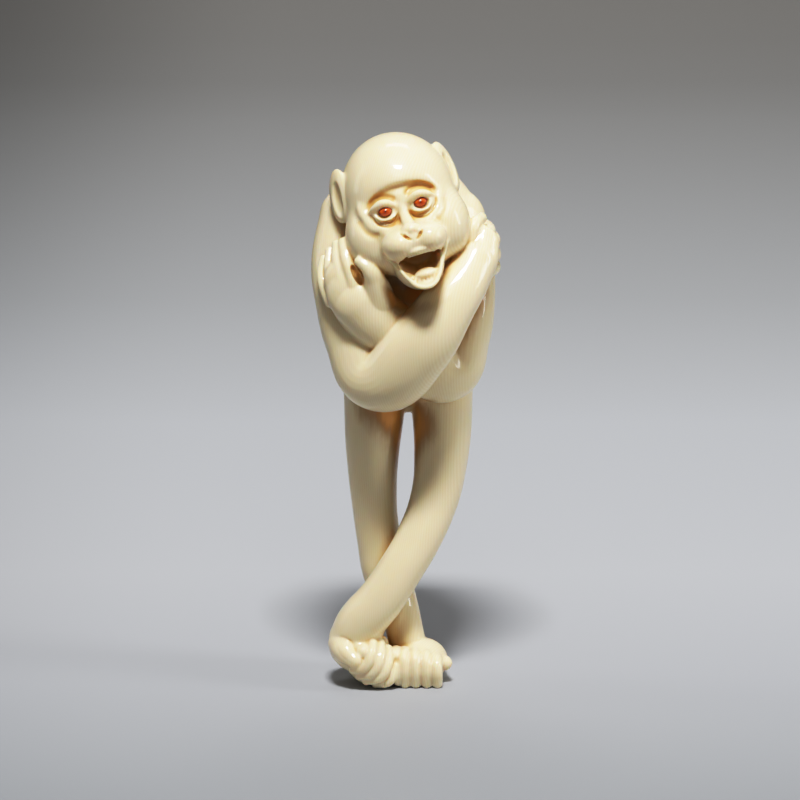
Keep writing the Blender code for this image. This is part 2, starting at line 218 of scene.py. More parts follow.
# %% Trunk and upper arms
SPINE = (
    (0.0, 5.2, 41.5, 5.9),
    (-0.2, 4.9, 46.5, 7.0),
    (-0.4, 4.4, 53.0, 7.9),
    (-0.5, 4.6, 59.5, 7.8),
    (-0.6, 5.0, 63.2, 6.4),
)
SPINE_WIDTH = 1.16
RIGHT_UPPER_ARM = (
    (-7.0, 3.0, 62.6, 4.6),
    (-7.7, 1.0, 57.0, 4.95),
    (-7.3, -1.0, 52.5, 4.8),
    (-6.1, -3.2, 47.6, 4.7),
    (-3.8, -5.4, 43.1, 4.55),
)
RIGHT_FOREARM = (
    (1.4, -8.2, 47.8, 4.5),
    (5.0, -8.0, 52.9, 3.75),
    (7.6, -6.2, 56.4, 3.15),
    (8.8, -4.8, 58.4, 2.9),
)
LEFT_UPPER_ARM = (
    (5.9, 4.4, 62.0, 4.5),
    (6.9, 3.2, 56.7, 4.55),
    (7.1, 1.4, 51.6, 4.5),
    (6.5, 0.0, 47.3, 4.45),
    (4.9, -1.5, 43.1, 4.35),
)
LEFT_FOREARM = (
    (1.0, -4.0, 47.0, 4.0),
    (-3.8, -6.0, 50.9, 3.9),
    (-6.0, -6.2, 53.4, 3.9),
)
ARM_DEPTH = 0.85
SOFT_CELL = 0.45
TRUNK_SOFTENING = 60

trunk = fused(
    "trunk",
    [
        limb(SPINE, flat=SPINE_WIDTH, across=(1, 0, 0)),
        limb(RIGHT_UPPER_ARM[:3], flat=ARM_DEPTH),
        limb(LEFT_UPPER_ARM[:3], flat=ARM_DEPTH),
        ball((-3.8, 4.9, 59.6), (6.7, 6.9, 9.9)),
        ball((3.0, 5.1, 59.6), (6.8, 7.0, 9.9)),
        ball((-3.2, 5.9, 43.8), (4.5, 5.4, 7.5)),
        ball((3.2, 5.9, 43.8), (4.5, 5.4, 7.5)),
    ],
    SOFT_CELL,
    TRUNK_SOFTENING,
)
arms = [
    limb(RIGHT_UPPER_ARM + RIGHT_FOREARM, flat=ARM_DEPTH),
    limb(LEFT_UPPER_ARM + LEFT_FOREARM, flat=ARM_DEPTH),
]
print("trunk:", len(trunk.data.vertices), "points")

# %% Legs and tail
FRONT_LEG = (
    (4.2, 3.6, 42.4, 4.3),
    (4.6, 2.9, 38.0, 4.15),
    (4.5, 1.5, 30.0, 3.6),
    (3.6, 0.5, 24.8, 3.25),
    (1.4, -1.0, 19.6, 3.05),
    (-0.9, -2.0, 15.8, 3.0),
    (-3.6, -2.4, 11.7, 3.1),
    (-6.3, -2.0, 8.3, 3.2),
    (-7.4, -1.4, 6.0, 3.1),
)
REAR_LEG = (
    (-4.2, 3.6, 42.4, 4.3),
    (-4.3, 2.9, 38.0, 4.15),
    (-4.6, 2.8, 31.1, 3.6),
    (-4.45, 3.0, 24.6, 3.1),
    (-3.8, 3.2, 18.5, 2.95),
    (-3.1, 3.1, 14.4, 3.0),
    (-2.0, 2.8, 11.4, 2.95),
    (-1.0, 2.2, 8.6, 2.7),
    (-0.1, 1.5, 5.3, 2.5),
)
TAIL = (
    (0, 10.0, 43.6, 1.9),
    (0.1, 11.12, 42.0, 1.75),
    (0.2, 11.5, 40.2, 1.45),
)
legs = [limb(FRONT_LEG), limb(REAR_LEG), limb(TAIL)]
print("legs and tail:", len(legs), "pieces")

# %% [markdown]
# The hands hold the shoulders. The monkey's left hand shows its back and four fingers on the
# right arm, with the thumb apart. Its right hand grips round the left shoulder, so the
# fingers are seen end on as knuckles. Each finger is a thin limb half sunk in the palm.

# %% Hands
left_palm = [(-5.6, -6.6, 52.8, 3.7), (-6.9, -6.4, 54.7, 3.7), (-7.6, -5.9, 56.2, 3.3)]
left_fingers = [
    [
        (-6.9, -7.9, 54.6, 0.85),
        (-7.2, -7.8, 57.0, 0.85),
        (-7.9, -6.8, 59.2, 0.8),
        (-8.3, -5.2, 61.0, 0.7),
    ],
    [
        (-8.1, -7.6, 53.8, 0.85),
        (-8.6, -7.2, 56.4, 0.82),
        (-9.1, -6.0, 58.8, 0.75),
        (-9.2, -4.6, 60.6, 0.65),
    ],
    [
        (-9.2, -6.8, 53.3, 0.8),
        (-9.9, -6.1, 55.8, 0.76),
        (-10.2, -5.0, 57.9, 0.7),
        (-10.1, -3.8, 59.6, 0.6),
    ],
    [
        (-10.0, -5.8, 53.2, 0.75),
        (-10.9, -4.8, 55.2, 0.7),
        (-11.2, -3.8, 56.9, 0.62),
        (-10.9, -3.0, 58.4, 0.52),
    ],
]
left_thumb = [
    (-3.6, -6.0, 51.5, 2.4),
    (-3.75, -7.4, 54.2, 2.15),
    (-4.2, -8.5, 56.6, 1.5),
    (-5.0, -9.15, 58.3, 1.0),
    (-6.25, -9.0, 59.3, 0.62),
]
right_palm = [(8.2, -5.2, 57.4, 3.0), (9.0, -4.2, 59.0, 3.0), (9.4, -3.4, 60.4, 2.7)]
right_fingers = [
    [
        (7.9, -4.6, 61.2, 1.0),
        (8.8, -3.9, 63.2, 0.85),
        (9.6, -2.0, 63.6, 0.8),
    ],
    [
        (9.2, -3.8, 61.0, 1.0),
        (10.4, -2.4, 61.6, 0.95),
        (10.6, 0.2, 61.9, 0.85),
        (9.8, 2.8, 62.0, 0.75),
    ],
    [
        (9.8, -3.6, 60.0, 1.0),
        (11.0, -2.0, 60.3, 0.95),
        (11.3, 0.6, 60.5, 0.85),
        (10.6, 3.4, 60.6, 0.75),
    ],
    [
        (10.0, -3.6, 58.4, 1.0),
        (11.1, -1.8, 58.3, 0.95),
        (11.47, 0.8, 58.5, 0.85),
        (11.0, 3.6, 58.7, 0.75),
    ],
    [
        (9.8, -3.6, 57.0, 0.95),
        (11.0, -1.8, 56.7, 0.9),
        (11.5, 0.6, 56.7, 0.8),
        (11.2, 3.0, 56.9, 0.7),
    ],
]
PALM_DEPTH = 0.6
hands = [
    limb(left_palm, flat=PALM_DEPTH),
    limb(left_thumb),
    limb(right_palm, flat=PALM_DEPTH, across=(0.35, 1, 0)),
]
hands += [limb(finger) for finger in left_fingers + right_fingers]
print("hands:", len(hands), "pieces")

# %% [markdown]
# The feet are crossed, with curled toes. The front foot's toes bend round to the side, and
# its big toe lies apart. The rear foot's toes come straight down to the ground. Small lumps
# fill the pits that would be left between the two feet.

# %% Feet
front_toes = [
    [
        (-4.7, -3.4, 6.5, 0.72),
        (-4.75, -5.6, 5.3, 0.72),
        (-5.6, -6.1, 3.6, 0.7),
        (-7.2, -5.3, 2.8, 0.62),
    ],
    [
        (-3.6, -3.3, 5.9, 0.72),
        (-3.6, -5.5, 4.5, 0.72),
        (-4.5, -5.9, 2.75, 0.7),
        (-6.4, -5.1, 1.9, 0.62),
    ],
    [
        (-2.6, -3.1, 5.0, 0.7),
        (-2.6, -5.2, 3.6, 0.7),
        (-3.6, -5.7, 1.95, 0.68),
        (-5.5, -4.9, 1.15, 0.6),
    ],
    [
        (-1.75, -2.9, 4.0, 0.66),
        (-1.9, -4.7, 2.6, 0.68),
        (-2.4, -5.1, 1.25, 0.72),
        (-4.2, -4.5, 0.6, 0.6),
    ],
]
front_big_toe = [(-9.0, -2.4, 5.6, 1.6), (-8.2, -4.3, 5.1, 1.65), (-7.0, -5.6, 4.3, 1.15)]
feet = [
    ball((-6.3, -2.0, 4.6), (4.3, 3.6, 3.2), turn=(0, 18, 0)),
    ball((-5.9, -1.8, 7.3), (2.7, 2.9, 3.8), turn=(0, 35, 0)),
    ball((-4.9, -2.2, 3.0), (3.3, 3.8, 3.0), turn=(0, 18, 0)),
    ball((-4.2, -1.6, 2.4), (3.0, 3.6, 2.4)),
    ball((-4.6, 1.4, 2.5), (2.9, 2.7, 2.95)),
    limb(front_big_toe),
    ball((1.8, 0.0, 2.5), (3.7, 4.5, 2.9)),
    ball((1.9, -1.2, 3.2), (3.5, 3.6, 1.9), turn=(0, 5, 0)),
    ball((0.9, 2.9, 2.5), (2.8, 2.5, 2.85)),
    limb([(4.0, 0.0, 2.6, 1.4), (5.1, -2.0, 2.7, 1.0)]),
    ball((-1.25, -3.7, 2.1), (1.05, 1.6, 2.0)),
    ball((-3.9, -1.8, 5.2), (1.5, 2.0, 1.4)),
    ball((-5.8, -4.7, 5.3), (1.15, 1.5, 1.15)),
    ball((-1.5, -2.6, 4.1), (1.2, 1.8, 1.2)),
]
feet += [limb(toe) for toe in front_toes]
rear_toe_tops = ((-0.35, 4.45), (1.05, 4.4), (2.55, 4.2), (3.95, 3.75))
for x, top in rear_toe_tops:
    feet.append(limb([
        (x, -2.2, top, 0.74),
        (x, -3.9, top - 0.25, 0.78),
        (x + 0.05, -4.6, 2.7, 0.76),
        (x + 0.1, -4.2, 0.62, 0.74),
    ]))
print("feet:", len(feet), "pieces")

# %% [markdown]
# The head starts as a smooth dome with full cheeks. The eyes lie in a shallow mask-shaped
# hollow below the brow, cut by an elliptical cylinder from the front. The muzzle and the
# cheekbones are laid on after that.

# %% Skull
FACE_CELL = 0.2
SKULL_SOFTENING = 30
FACE_SOFTENING = 24
masses = [
    ball((0.3, 8.3, 2.4), (7.9, 9.2, 8.55), frame=HEAD),
    ball((0.1, 4.4, -5.4), (5.0, 5.4, 4.6), frame=HEAD),
]
for side in SIDES:
    masses.append(ball((0.1 + side * 5.0, 5.6, -3.0), (3.8, 5.2, 5.2), frame=HEAD))
bpy.ops.mesh.primitive_cylinder_add(vertices=96, radius=1, depth=2)
mask = bpy.context.object
lie = Matrix.Rotation(math.radians(90), 4, "X")
size = Matrix.Diagonal((5.35, 5.6, 3.15, 1))
mask.data.transform(PLACE @ HEAD @ Matrix.Translation((0.25, -1.0, 0)) @ size @ lie)
head_lumps = [
    carved(fused("skull", masses, SOFT_CELL, SKULL_SOFTENING), mask),
    ball((0, 8.3, 1.4), (7.45, 8.45, 7.5), frame=HEAD),
    ball((0.1, 1.6, -4.7), (4.4, 4.7, 2.9), frame=HEAD),
]
cheekbone = [
    (5.2, 2.35, 1.2, 1.0),
    (4.95, 1.7, -0.6, 1.05),
    (4.2, 1.25, -2.1, 1.05),
    (3.1, 1.0, -3.0, 0.9),
]
for side in SIDES:
    head_lumps.append(ball((side * 3.0, 2.8, -2.3), (3.0, 3.1, 2.2), frame=HEAD))
    head_lumps.append(ball((0.25 + side * 1.95, -0.3, -4.9), (2.6, 3.2, 2.2), frame=HEAD))
    head_lumps.append(limb(mirrored(cheekbone, side), frame=HEAD))
skull = fused("skull", head_lumps, FACE_CELL, FACE_SOFTENING)
print("skull:", len(skull.data.vertices), "points")

# %% [markdown]
# The small forms of the face are laid on the smooth skull: a rounded mass for each eye, a
# full upper lid, a thin lower rim, a low nose with its pad, a lip drawn up over the teeth and
# the thin edge of the hanging jaw, with a solid chin under it.

# %% Eyelids and nose
upper_lid = [
    (0.75, 0.3, 0.1, 0.2),
    (1.4, -0.25, 0.8, 0.42),
    (2.5, -0.5, 1.2, 0.52),
    (3.6, -0.2, 0.95, 0.44),
    (4.55, 0.8, 0.45, 0.24),
]
lower_rim = [
    (0.8, 0.3, -0.3, 0.12),
    (1.6, -0.3, -0.95, 0.17),
    (2.6, -0.5, -1.12, 0.18),
    (3.6, -0.2, -0.75, 0.17),
    (4.35, 0.6, 0.1, 0.12),
]
face = []
for side in SIDES:
    face.append(ball((side * 2.5, 1.25, -0.05), (2.1, 1.7, 1.9), frame=HEAD))
    face.append(ball((side * 2.6, 1.25, -0.75), (2.15, 1.4, 1.4), frame=HEAD))
    face.append(limb(mirrored(upper_lid, side), frame=HEAD))
    face.append(limb(mirrored(lower_rim, side), frame=HEAD))
    face.append(ball((0.2 + side * 1.0, -2.5, -3.8), (0.5, 0.62, 0.42), frame=HEAD))
bridge = [
    (-0.06, 0.75, 1.9, 0.6),
    (-0.06, 0.6, 1.2, 0.6),
    (-0.05, 0.5, 0.2, 0.65),
    (-0.05, 0.15, -1.3, 0.75),
    (0.1, -1.2, -2.6, 0.85),
]
face.append(limb(bridge, frame=HEAD))
face.append(ball((0.2, -1.9, -3.3), (1.45, 1.3, 0.9), frame=HEAD))
face.append(ball((0.2, -2.55, -4.15), (0.42, 0.5, 0.6), frame=HEAD))

# %% Lips and jaw
jaw_edge = [
    (-4.2, 1.6, -4.9, 0.5),
    (-3.45, 0.5, -6.5, 0.34),
    (-2.65, -0.7, -8.1, 0.3),
    (-1.8, -1.75, -9.8, 0.3),
    (-0.9, -2.6, -11.0, 0.3),
    (0.3, -2.95, -11.4, 0.3),
    (1.35, -2.65, -11.1, 0.3),
    (2.2, -1.9, -10.2, 0.3),
    (2.85, -1.1, -9.0, 0.3),
    (3.75, 0.1, -7.4, 0.32),
    (4.5, 1.5, -5.7, 0.5),
]
upper_lip = [
    (-2.6, -0.6, -6.95, 0.26),
    (-1.9, -1.5, -6.55, 0.28),
    (-1.0, -2.25, -6.3, 0.32),
    (0.35, -2.6, -6.24, 0.32),
    (1.6, -2.3, -6.2, 0.32),
    (2.4, -1.65, -6.3, 0.28),
    (3.35, -0.6, -6.75, 0.26),
]
face.append(limb(jaw_edge, frame=HEAD))
face.append(limb(upper_lip, frame=HEAD))
face.append(ball((0.2, 2.2, -7.5), (3.55, 5.0, 3.85), turn=(-12, 0, 0), frame=HEAD))
face.append(ball((0.25, -0.9, -10.3), (1.7, 2.2, 0.75), turn=(31, 0, 0), frame=HEAD))
face.append(ball((0.25, 1.0, -10.0), (2.0, 2.4, 1.5), frame=HEAD))
print("face:", len(face), "pieces")

# %% Ears
ears = []
for side in SIDES:
    turn = (0, side * -8, side * -24)
    shell = ball((side * 7.55, 7.6, 4.1), (0.9, 2.7, 3.8), turn=turn, frame=HEAD)
    hollow = ball((side * 8.15, 6.7, 3.6), (0.8, 1.2, 2.6), turn=turn, frame=HEAD)
    ears.append(carved(shell, hollow))
print("ears:", len(ears), "shells")

# %% [markdown]
# All the lumps become one skin. The mouth, the nostrils, the eye openings and the gap beside
# the left thumb are fused to one cutter and taken away in one Boolean. The mouth is cut along
# its outline and upwards to the back, so its floor slopes as a jaw does.

# %% Fuse the lumps
SKIN_CELL = 0.13
SKIN_SOFTENING = 3
lumps = [trunk, *arms, *legs, *hands, *feet, skull, *face, *ears]
monkey = fused("ivory_monkey", lumps, SKIN_CELL, SKIN_SOFTENING)
print("skin:", triangles(monkey), "triangles")

# %% The mouth's cutter
MOUTH_SLOPE = 0.6
MOUTH_FRONT = -3.0
MOUTH_LENGTH = 7.4
OVERSHOOT = 2
mouth_outline = [
    (-2.6, -7.4, -0.7),
    (-1.9, -6.92, -1.7),
    (-1.05, -6.7, -2.4),
    (0.35, -6.65, -2.8),
    (1.6, -6.6, -2.5),
    (2.4, -6.72, -1.8),
    (3.3, -7.15, -0.7),
    (3.05, -8.1, -0.7),
    (2.6, -9.0, -1.2),
    (2.0, -10.05, -2.0),
    (1.2, -10.85, -2.7),
    (0.2, -11.12, -2.95),
    (-0.8, -10.75, -2.65),
    (-1.5, -9.8, -1.95),
    (-2.25, -8.5, -1.0),
]


def mouth_cutter():
    """The mouth's outline pushed back into the head along its slope."""
    outline = bpy.data.curves.new("mouth", "CURVE")
    outline.dimensions = "2D"
    outline.fill_mode = "BOTH"
    outline.extrude = MOUTH_LENGTH / 2
    spline = outline.splines.new("BEZIER")
    spline.use_cyclic_u = True
    spline.bezier_points.add(len(mouth_outline) - 1)
    for knot, (x, z, y) in zip(spline.bezier_points, mouth_outline):
        knot.co = (x, z - MOUTH_SLOPE * (y - MOUTH_FRONT), 0)
        knot.handle_left_type = "AUTO"
        knot.handle_right_type = "AUTO"
    obj = bpy.data.objects.new("mouth", outline)
    bpy.context.scene.collection.objects.link(obj)
    choose([obj])
    bpy.ops.object.convert(target="MESH")
    stand_up = Matrix.Rotation(math.radians(90), 4, "X")
    slope = Matrix.Identity(4)
    slope[2][1] = MOUTH_SLOPE
    middle = Matrix.Translation((0, MOUTH_LENGTH / 2 - OVERSHOOT, 0))
    front = Matrix.Translation((0, MOUTH_FRONT, 0))
    obj.data.transform(PLACE @ HEAD @ front @ slope @ middle @ stand_up)
    return obj


print("the mouth is cut", MOUTH_LENGTH, "mm long")

# %% Cut the face
CUT_CELL = 0.1
CUT_SOFTENING = 2
NOSTRIL_LENGTH = 4
LID_DEPTH = 1.9
eye_opening = [
    (0.95, -0.8, -0.38, 0.08),
    (1.65, -0.8, -0.2, 0.5),
    (2.6, -0.8, -0.17, 0.8),
    (3.5, -0.8, -0.02, 0.55),
    (4.3, -0.5, 0.3, 0.08),
]
nostrils = [
    [(-1.3, -3.4, -3.5, 0.14), (-0.85, -3.4, -4.1, 0.19), (-0.12, -3.5, -4.78, 0.14)],
    [(1.55, -3.4, -3.75, 0.14), (1.05, -3.4, -4.25, 0.19), (0.5, -3.5, -4.8, 0.14)],
]
thumb_gap = ball((-6.6, -8.4, 57.4), (0.5, 1.2, 1.55), turn=(0, -26, 0))
cutters = [mouth_cutter(), thumb_gap]
cutters += [limb(slit, flat=NOSTRIL_LENGTH, frame=HEAD) for slit in nostrils]
for side in SIDES:
    cutters.append(limb(mirrored(eye_opening, side), flat=LID_DEPTH, frame=HEAD))
carved(monkey, fused("hollows", cutters, CUT_CELL, CUT_SOFTENING))
print("cut:", triangles(monkey), "triangles")

# %% Tongue, teeth and eyeballs
inside = [ball((0.5, -1.0, -9.5), (1.55, 1.7, 0.78), turn=(8, -2, 0), frame=HEAD)]
for side in SIDES:
    inside.append(ball((side * 2.55, 1.75, -0.1), (1.95, 1.75, 1.5), frame=HEAD))
lower_gum = [
    (-1.7, -1.2, -9.8, 0.3),
    (-0.6, -2.0, -10.7, 0.3),
    (0.35, -2.25, -10.9, 0.3),
    (1.5, -1.9, -10.5, 0.3),
    (2.3, -1.1, -9.6, 0.3),
]
lower_teeth = [
    (-1.35, -1.5, -9.7),
    (-0.95, -1.8, -10.03),
    (-0.5, -2.03, -10.28),
    (0.0, -2.17, -10.43),
    (0.5, -2.2, -10.46),
    (0.98, -2.1, -10.33),
    (1.42, -1.9, -10.08),
    (1.8, -1.6, -9.78),
    (2.1, -1.25, -9.43),
]
TOOTH = (0.23, 0.22, 0.33)
inside.append(limb(lower_gum, frame=HEAD))
inside += [ball(tooth, TOOTH, frame=HEAD, rounds=3) for tooth in lower_teeth]
upper_teeth = [
    (-1.2, -1.8, -6.83, 0.14),
    (-0.4, -2.15, -6.74, 0.19),
    (0.6, -2.3, -6.7, 0.2),
    (1.7, -2.0, -6.7, 0.19),
    (2.5, -1.35, -6.85, 0.14),
]
inside.append(limb(upper_teeth, frame=HEAD))
monkey = fused("ivory_monkey", [monkey, *inside], SKIN_CELL, 1)
print("with tongue and teeth:", triangles(monkey), "triangles")

# %% [markdown]
# Fine lines are drawn with the graver at the end: the hollow under the brow, the crease over
# each upper lid, the folds under the eyes and the slits of the nostrils. Here each line is a
# smooth path in the plane of the face, and the points of the skin near it move in along
# their normals by a bell curve.

# %% Helpers for engraving
def points_of(obj):
    """The mesh's points in the measuring frame, in millimetres."""
    flat = np.empty(len(obj.data.vertices) * 3, np.float32)
    obj.data.vertices.foreach_get("co", flat)
    return (flat.reshape(-1, 3) - np.array(SHIFT)) / MM


def normals_of(obj):
    """The mesh's normals at its points."""
    flat = np.empty(len(obj.data.vertices) * 3, np.float32)
    obj.data.vertices.foreach_get("normal", flat)
    return flat.reshape(-1, 3)


def smooth_path(points, steps=8):
    """A Catmull-Rom path through the points."""
    points = np.array(points, float)
    ends = np.vstack([2 * points[0] - points[1], points, 2 * points[-1] - points[-2]])
    path = []
    for a, b, c, d in zip(ends, ends[1:], ends[2:], ends[3:]):
        for t in np.arange(steps) / steps:
            bend = (2 * a - 5 * b + 4 * c - d) * t**2 + (3 * b - a - 3 * c + d) * t**3
            path.append(b + 0.5 * ((c - a) * t + bend))
    return np.array([*path, points[-1]])


def traced(obj, lines, frame, window, spread=1.0):
    """How deep the lines of (points, width, depth) cut at each point of the mesh.

    They're seen along the frame's Y axis, and only the points in the window are cut."""
    into = np.array(frame.inverted())
    spots = points_of(obj) @ into[:3, :3].T + into[:3, 3]
    facing = normals_of(obj) @ np.array(frame.to_3x3().normalized())[:, 1]
    low, high = np.array(window)
    seen = np.nonzero((facing < 0) & np.all((spots > low) & (spots < high), axis=1))[0]
    flat = spots[seen][:, [0, 2]]
    depths = np.zeros(len(seen))
    for points, width, depth in lines:
        path = smooth_path(points)
        share = np.linspace(0, 1, len(path))
        strength = np.minimum(1, 6 * np.minimum(share, 1 - share) + 0.15)
        nearest = np.full(len(seen), 1e9)
        weight = np.zeros(len(seen))
        for start, end, power in zip(path, path[1:], strength):
            along = end - start
            t = np.clip((flat - start) @ along / (along @ along + 1e-12), 0, 1)
            away = np.linalg.norm(flat - start - t[:, None] * along, axis=1)
            closer = away < nearest
            nearest[closer] = away[closer]
            weight[closer] = power
        depths += depth * weight * np.exp(-((nearest / (spread * width)) ** 2))
    traces = np.zeros(len(spots))
    traces[seen] = depths * np.minimum(1, -2 * facing[seen])
    return traces


def engrave(obj, lines, frame, window):
    """Move the points near the lines inwards."""
    moved = points_of(obj) - normals_of(obj) * traced(obj, lines, frame, window)[:, None]
    obj.data.vertices.foreach_set("co", (moved * MM + np.array(SHIFT)).astype(np.float32).ravel())
    obj.data.update()


print("the skin has", len(monkey.data.vertices), "points to move")

# %% [markdown]
# Each line below is a list of (x, z) points on the face, a width and a depth. Left and right
# are the picture's. The last line of each list is a nostril.

# %% Engrave the face
FACE_WINDOW = ((-8.0, -6.0, -9.0), (8.0, 5.0, 4.5))
brow = [
    (-4.6, 1.3),
    (-3.4, 2.35),
    (-2.4, 2.7),
    (-0.8, 2.75),
    (0.4, 2.7),
    (1.6, 2.85),
    (3.6, 2.5),
    (4.9, 1.4),
]
left_lines = [
    (brow, 0.7, 0.16),
    ([(-4.6, 1.0), (-3.75, 1.85), (-2.6, 2.1), (-1.4, 1.8), (-0.55, 1.1)], 0.36, 0.26),
    ([(-4.5, 0.3), (-4.0, -1.2), (-2.95, -1.98), (-1.8, -1.95), (-0.85, -1.35)], 0.16, 0.2),
    ([(-4.1, -0.25), (-3.4, -1.3), (-2.6, -1.55), (-1.6, -1.42), (-0.95, -0.85)], 0.1, 0.09),
    ([(-6.3, 0.6), (-5.98, -1.26), (-5.18, -2.4), (-3.9, -3.05)], 0.5, 0.27),
    ([(-1.45, -3.3), (-1.2, -3.75), (-0.6, -4.4), (-0.15, -4.8)], 0.17, 0.17),
]
right_lines = [
    ([(0.5, 1.3), (1.45, 2.1), (2.7, 2.4), (4.0, 2.0), (5.0, 1.05)], 0.36, 0.26),
    (
        [(0.7, -0.6), (1.15, -1.45), (2.2, -1.95), (3.35, -1.75), (4.4, -0.8), (4.85, 0.3)],
        0.16,
        0.2,
    ),
    ([(1.0, -0.7), (1.6, -1.35), (2.5, -1.55), (3.5, -1.2), (4.25, -0.2)], 0.1, 0.09),
    ([(6.1, 0.6), (5.69, -1.21), (4.97, -2.2), (3.9, -2.95)], 0.5, 0.22),
    ([(1.7, -3.55), (1.45, -3.95), (0.95, -4.5), (0.5, -4.83)], 0.17, 0.17),
]
face_lines = left_lines + right_lines
engrave(monkey, face_lines, HEAD, FACE_WINDOW)
print("engraved lines on the face:", len(face_lines))

# %% Engrave the nails
FOOT_WINDOW = ((-12.0, -9.0, 0.0), (8.0, 0.0, 9.0))
nails = [
    ([(-9.3, 7.0), (-8.4, 7.1), (-7.5, 6.7), (-7.0, 6.0), (-6.7, 5.2)], 0.14, 0.08),
    ([(-9.6, 6.4), (-9.0, 5.2), (-8.0, 4.4), (-7.0, 4.0)], 0.14, 0.05),
]
engrave(monkey, nails, WORLD, FOOT_WINDOW)
print("engraved nails:", len(nails))

# %% [markdown]
# The skin now has far more triangles than anyone needs on a plain back. Decimate collapses
# them where the surface is flat. A vertex group spares the face, the hands and the feet.

# %% Thin the skin
TRIANGLES = 190000
DETAIL = (
    (-0.5, -11.0, 64.0, 7.0),
    (-8.0, -7.0, 57.0, 5.0),
    (-2.0, -4.0, 3.0, 7.0),
    (11.0, 0.0, 60.0, 5.0),
)
DETAIL_CORE = 0.6
LEAST_WEIGHT = 0.1
DETAIL_CARE = 1e-9
LEVELS = 10


def thinned(obj, wanted):
    """Bring the object down to the wanted triangles, and spare the places in DETAIL."""
    spots = points_of(obj)
    away = [np.linalg.norm(spots - spot, axis=1) / reach for *spot, reach in DETAIL]
    weights = np.clip(np.min(away, axis=0) - DETAIL_CORE, LEAST_WEIGHT, 1.0)
    group = obj.vertex_groups.new(name="plain")
    for level in range(1, LEVELS + 1):
        chosen = np.nonzero(np.round(weights * LEVELS) == level)[0]
        group.add(chosen.tolist(), level / LEVELS, "REPLACE")
    thin = obj.modifiers.new("thin", "DECIMATE")
    thin.vertex_group = group.name
    thin.vertex_group_factor = DETAIL_CARE
    thin.ratio = min(1, wanted / triangles(obj))
    apply_all(obj)
    obj.vertex_groups.clear()


thinned(monkey, TRIANGLES)
print("thinned:", triangles(monkey), "triangles")

# %% [markdown]
# The underside is cut level, so that the figure stands. The eyes are ovals let into the
# ivory, so a socket a hair wider than each is cut for it.

# %% Level underside and eye sockets
IRIS = (0.93, 0.6, 0.6)
PUPIL = 0.24
PUPIL_SUNK = 0.05
GLUE = 0.005


def iris(side, grow=0.0):
    """The oval of one eye, or the space for it."""
    return ball((side * EYE_APART, 0, 0), [r + grow for r in IRIS], frame=HEAD)


def pupil(side, grow=0.0):
    """The ball of one pupil, or the space for it."""
    centre = (side * EYE_APART, PUPIL_SUNK - PUPIL_FORWARD, 0)
    return ball(centre, (PUPIL + grow,) * 3, frame=HEAD, rounds=4)


bpy.ops.mesh.primitive_cube_add(size=1)
ground = bpy.context.object
GROUND_SIZE = (60, 60, 10)
sunk = Matrix.Translation((0, 0, -GROUND_SIZE[2] / 2))
ground.data.transform(PLACE @ sunk @ Matrix.Diagonal((*GROUND_SIZE, 1)))
carved(monkey, ground)
for side in SIDES:
    carved(monkey, iris(side, GLUE))
print("monkey:", triangles(monkey), "triangles")

# %% [markdown]
# Old ivory darkens where hands don't rub it, so its hollows are honey brown. Here that honey is
# partly the patina and partly painted shade, and where the figure overhangs itself, as over the
# upper legs and under the jaw, the colour is darkened as a painted shadow. Four numbers are kept
# on each point of the skin for the finish. Rays give the first two: how much is hidden from it
# within a few millimetres, and how much overhangs it from further off. The third is how sharply
# the skin bends inwards, and the fourth is the depth of the engraved lines.

# %% Helpers that measure hollows
RAYS = 24
LIFT = 0.02 * MM


def ray_fan(count):
    """Directions spread evenly over the upper half of a ball."""
    golden = math.pi * (3 - math.sqrt(5))
    fan = []
    for step in range(count):
        up = (step + 0.5) / count
        out = math.sqrt(1 - up * up)
        fan.append(Vector((out * math.cos(golden * step), out * math.sin(golden * step), up)))
    return fan


def hidden_sky(obj, reach, upward=0.0, skip=0.0):
    """For each point, the share of rays that meet the same skin again, nearer ones counting more.

    With upward above zero, rays that rise count more. Skin nearer than skip counts for nothing."""
    corners = [vertex.co for vertex in obj.data.vertices]
    tree = BVHTree.FromPolygons(corners, [face.vertices for face in obj.data.polygons])
    fan = ray_fan(RAYS)
    shares = []
    for vertex in obj.data.vertices:
        normal = vertex.normal
        turn = normal.to_track_quat("Z", "Y")
        start = vertex.co + normal * LIFT
        blocked = 0.0
        total = 1e-6
        for way in fan:
            ray = turn @ way
            weight = 1 - upward + upward * max(0.0, ray.z)
            total += weight
            hit = tree.ray_cast(start, ray, reach)
            if hit[3] is not None and hit[3] > skip:
                blocked += weight * (1 - hit[3] / reach)
        shares.append(blocked / total)
    return np.array(shares, np.float32)


print("rays at each point:", RAYS)

# %% Even out and keep the measures
def evened(obj, values, rounds):
    """Values on the points, averaged with their neighbours."""
    edges = np.empty(len(obj.data.edges) * 2, np.int64)
    obj.data.edges.foreach_get("vertices", edges)
    a, b = edges.reshape(-1, 2).T
    share = 1 + np.bincount(a, minlength=len(values)) + np.bincount(b, minlength=len(values))
    for _ in range(rounds):
        total = values.astype(float)
        np.add.at(total, a, values[b])
        np.add.at(total, b, values[a])
        values = (total.T / share).T
    return values


def inward_bend(obj, rounds):
    """How far the mean of a point's neighbours stands above it, in millimetres."""
    spots = points_of(obj)
    return np.sum((evened(obj, spots, rounds) - spots) * normals_of(obj), axis=1)


def keep(obj, name, values):
    """Store one number for each point of the mesh."""
    layer = obj.data.attributes.new(name, "FLOAT", "POINT")
    layer.data.foreach_set("value", np.ascontiguousarray(values, np.float32))


